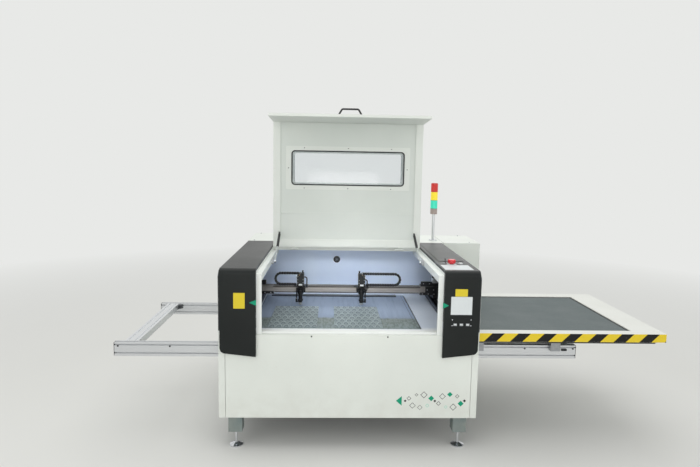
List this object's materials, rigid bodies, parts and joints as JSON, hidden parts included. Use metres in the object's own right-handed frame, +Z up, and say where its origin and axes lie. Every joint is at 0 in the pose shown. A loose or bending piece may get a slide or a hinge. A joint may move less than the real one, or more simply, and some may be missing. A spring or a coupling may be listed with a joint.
{
  "type": "laser engraving machine",
  "caption": "Floor-standing laser engraving machine with dark console covers, a lifting lid, gantry heads, shuttle tables on long rails, a rear tube housing and a signal tower.",
  "frame": {"origin": "on the floor, under the middle of the whole machine's outline with its tables and rails run out", "axes": "+X to the right as seen from the front, along the table rails; +Y from the front to the rear; +Z up"},
  "size_m": [3.231, 1.677, 2.0248],
  "materials": {
    "body_white": "satin powder coat",
    "charcoal_cover": "satin powder coat",
    "frame_steel": "powder coat",
    "inner_white": "satin powder coat",
    "profile_aluminium": "anodised",
    "zinc_steel": "zinc plated",
    "chrome": "polished",
    "black_metal": "satin black",
    "head_black": "black anodised",
    "black_plastic": "matte",
    "rubber_black": "matte",
    "window_acrylic": "clear tinted",
    "clear_acrylic": "clear",
    "sample_acrylic": "frosted",
    "glass_tube": "clear",
    "signal_lens": "translucent",
    "estop_red": "gloss",
    "start_white": "gloss",
    "screen_gloss": "high gloss",
    "bed_grey": "matte grey"
  },
  "bodies": {
    "machine": {"base_frame": "frame_steel", "levelling_feet": "zinc_steel", "front_panel": "body_white", "side_panel_left": "body_white", "side_panel_right": "body_white", "rear_panel": "body_white", "exhaust_spigots": "zinc_steel", "power_inlet": "black_plastic", "chamber_rear_wall": "inner_white", "cable_port": "black_plastic", "debris_tray": "zinc_steel", "console_shelf_left": "inner_white", "console_shelf_right": "inner_white", "console_rims": "body_white", "console_cover_left": "charcoal_cover", "console_cover_right": "charcoal_cover", "y_guides": "profile_aluminium", "rear_top_cover": "body_white", "tube_housing": "body_white", "laser_tubes": "glass_tube", "tube_cover": "body_white", "rail_front": "profile_aluminium", "rail_rear": "profile_aluminium", "cross_rails": "profile_aluminium", "lid_hinges": "zinc_steel", "strut_brackets": "zinc_steel", "control_screen": "screen_gloss", "socket_plate": "charcoal_cover", "signal_pole": "profile_aluminium", "signal_lenses": "signal_lens"},
    "lid": {"lid_shell": "body_white", "lid_liner": "inner_white", "lid_window": "window_acrylic", "window_gasket": "rubber_black", "window_frame": "body_white", "lid_handle": "black_metal"},
    "strut_left": {"strut_cylinder_left": "black_metal"},
    "strut_right": {"strut_cylinder_right": "black_metal"},
    "strut_piston_left": {"strut_rod_left": "chrome"},
    "strut_piston_right": {"strut_rod_right": "chrome"},
    "gantry": {"gantry_beam": "profile_aluminium", "gantry_ends": "black_metal", "gantry_motor": "black_metal"},
    "head_left": {"head_left": "head_black", "drag_chain_left": "black_plastic"},
    "head_right": {"head_right": "head_black", "drag_chain_right": "black_plastic"},
    "focus_left": {"focus_tube_left": "head_black"},
    "focus_right": {"focus_tube_right": "head_black"},
    "table_left": {"table_frame_left": "body_white", "table_bed_left": "bed_grey", "table_runners_left": "black_metal", "clear_sheet": "clear_acrylic", "sample_panels": "sample_acrylic"},
    "table_right": {"table_frame_right": "body_white", "table_bed_right": "bed_grey", "table_runners_right": "black_metal"},
    "estop": {"estop_button": "estop_red"},
    "key": {"key_knob": "chrome"},
    "start": {"start_button": "start_white"}
  },
  "joints": [
    {"name": "lid_hinge", "type": "hinge", "parent": "machine", "child": "lid", "pos_m": [-0.2555, 0.0785, 1.055], "axis": [1, 0, 0], "range_deg": [0, 90]},
    {"name": "strut_left_swing", "type": "hinge", "parent": "lid", "child": "strut_left", "pos_m": [-0.7355, 0.0435, 1.17], "axis": [1, 0, 0], "range_deg": [-115.76, 0]},
    {"name": "strut_left_stroke", "type": "slide", "parent": "strut_left", "child": "strut_piston_left", "axis": [0, -0.9029, -0.4299], "range_m": [-0.11429, 0]},
    {"name": "strut_right_swing", "type": "hinge", "parent": "lid", "child": "strut_right", "pos_m": [0.2245, 0.0435, 1.17], "axis": [1, 0, 0], "range_deg": [-115.76, 0]},
    {"name": "strut_right_stroke", "type": "slide", "parent": "strut_right", "child": "strut_piston_right", "axis": [0, -0.9029, -0.4299], "range_m": [-0.11429, 0]},
    {"name": "gantry_travel", "type": "slide", "parent": "machine", "child": "gantry", "axis": [0, 1, 0], "range_m": [-0.5, 0.28]},
    {"name": "head_left_travel", "type": "slide", "parent": "gantry", "child": "head_left", "axis": [1, 0, 0], "range_m": [-0.125, 0.225]},
    {"name": "head_right_travel", "type": "slide", "parent": "gantry", "child": "head_right", "axis": [1, 0, 0], "range_m": [-0.125, 0.225]},
    {"name": "focus_left_lift", "type": "slide", "parent": "head_left", "child": "focus_left", "axis": [0, 0, 1], "range_m": [-0.004, 0.016]},
    {"name": "focus_right_lift", "type": "slide", "parent": "head_right", "child": "focus_right", "axis": [0, 0, 1], "range_m": [-0.004, 0.016]},
    {"name": "table_right_shuttle", "type": "slide", "parent": "machine", "child": "table_right", "axis": [1, 0, 0], "range_m": [-1.26, 0]},
    {"name": "table_left_shuttle", "type": "slide", "parent": "machine", "child": "table_left", "axis": [1, 0, 0], "range_m": [-1.26, 0]},
    {"name": "estop_press", "type": "slide", "parent": "machine", "child": "estop", "axis": [0, 0, -1], "range_m": [0, 0.004], "stiffness_N_per_m": 1500},
    {"name": "start_press", "type": "slide", "parent": "machine", "child": "start", "axis": [0, 0, -1], "range_m": [0, 0.003], "stiffness_N_per_m": 1000},
    {"name": "key_turn", "type": "hinge", "parent": "machine", "child": "key", "pos_m": [0.3325, -0.5535, 1.073], "axis": [0, 0, 1], "range_deg": [-60, 0]}
  ],
  "couplings": [
    {"joint": "strut_left_swing", "follows": "lid_hinge", "ratio": -1.2829},
    {"joint": "strut_right_swing", "follows": "lid_hinge", "ratio": -1.2829},
    {"joint": "strut_left_stroke", "follows": "lid_hinge", "m_per_rad": -0.072505},
    {"joint": "strut_right_stroke", "follows": "lid_hinge", "m_per_rad": -0.072505},
    {"joint": "head_right_travel", "follows": "head_left_travel", "ratio": 1},
    {"joint": "table_left_shuttle", "follows": "table_right_shuttle", "ratio": 1}
  ]
}
